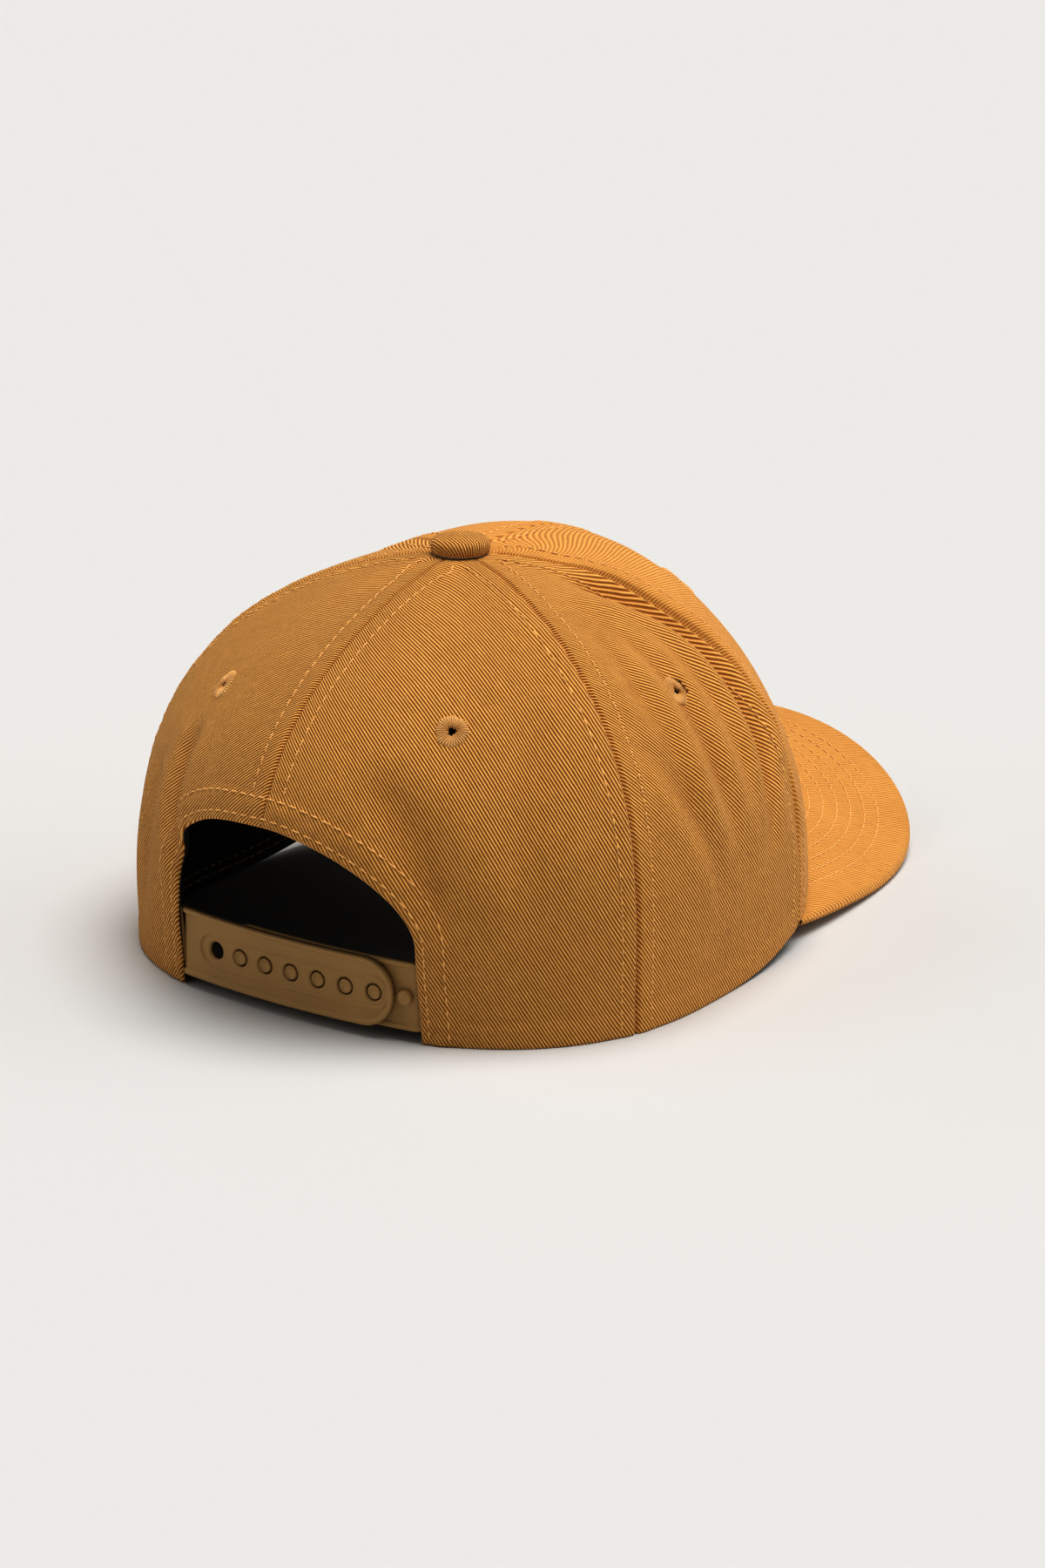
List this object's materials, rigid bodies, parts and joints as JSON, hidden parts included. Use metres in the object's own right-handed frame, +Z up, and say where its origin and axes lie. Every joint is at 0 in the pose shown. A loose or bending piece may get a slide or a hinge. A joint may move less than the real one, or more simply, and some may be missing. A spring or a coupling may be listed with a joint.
{
  "type": "baseball cap",
  "caption": "Six-panel cotton twill cap with a curved visor, sweatband, covered top button and a two-strap plastic snap closure at the back.",
  "frame": {"origin": "On the table, under the middle of the cap's outline", "axes": "+Z up, visor towards -Y, closure towards +Y, the wearer's left towards +X"},
  "size_m": [0.1719, 0.2512, 0.1143],
  "materials": {
    "twill": "cotton twill",
    "thread": "embroidery thread",
    "buckram": "stiff open weave",
    "tape": "plain weave tape",
    "foam": "soft foam lining",
    "board": "moulded sheet",
    "strap": "moulded, satin",
    "steel": "pressed"
  },
  "bodies": {
    "crown": {"arch_tape": "tape", "button_cover": "twill", "button_prong": "steel", "button_shell": "steel", "button_washer": "steel", "eyelet_back_left": "thread", "eyelet_back_right": "thread", "eyelet_front_left": "thread", "eyelet_front_right": "thread", "eyelet_side_left": "thread", "eyelet_side_right": "thread", "hem_tape": "tape", "hole_strap_tab": "strap", "panel_back_left": "twill", "panel_back_right": "twill", "panel_front_left": "twill", "panel_front_right": "twill", "panel_side_left": "twill", "panel_side_right": "twill", "peg_strap_tab": "strap", "seam_tape_back": "tape", "seam_tape_back_left": "tape", "seam_tape_back_right": "tape", "seam_tape_front": "tape", "seam_tape_front_left": "tape", "seam_tape_front_right": "tape", "stiffener_left": "buckram", "stiffener_right": "buckram", "sweatband_facing": "twill", "sweatband_foam": "foam", "visor_board": "board", "visor_bottom_cloth": "twill", "visor_edge_fold": "twill", "visor_top_cloth": "twill"},
    "hole_strap": {"hole_strap": "strap"},
    "peg_strap": {"peg_strap": "strap"}
  },
  "joints": [
    {"name": "hole_strap_bend", "type": "hinge", "parent": "crown", "child": "hole_strap", "pos_m": [0.037, 0.11115, 0.0126], "axis": [0, 0, -1], "range_deg": [0, 75], "stiffness_Nm_per_rad": 0.02},
    {"name": "peg_strap_bend", "type": "hinge", "parent": "crown", "child": "peg_strap", "pos_m": [-0.037, 0.1109, 0.0126], "axis": [0, 0, -1], "range_deg": [0, 60], "stiffness_Nm_per_rad": 0.02}
  ]
}
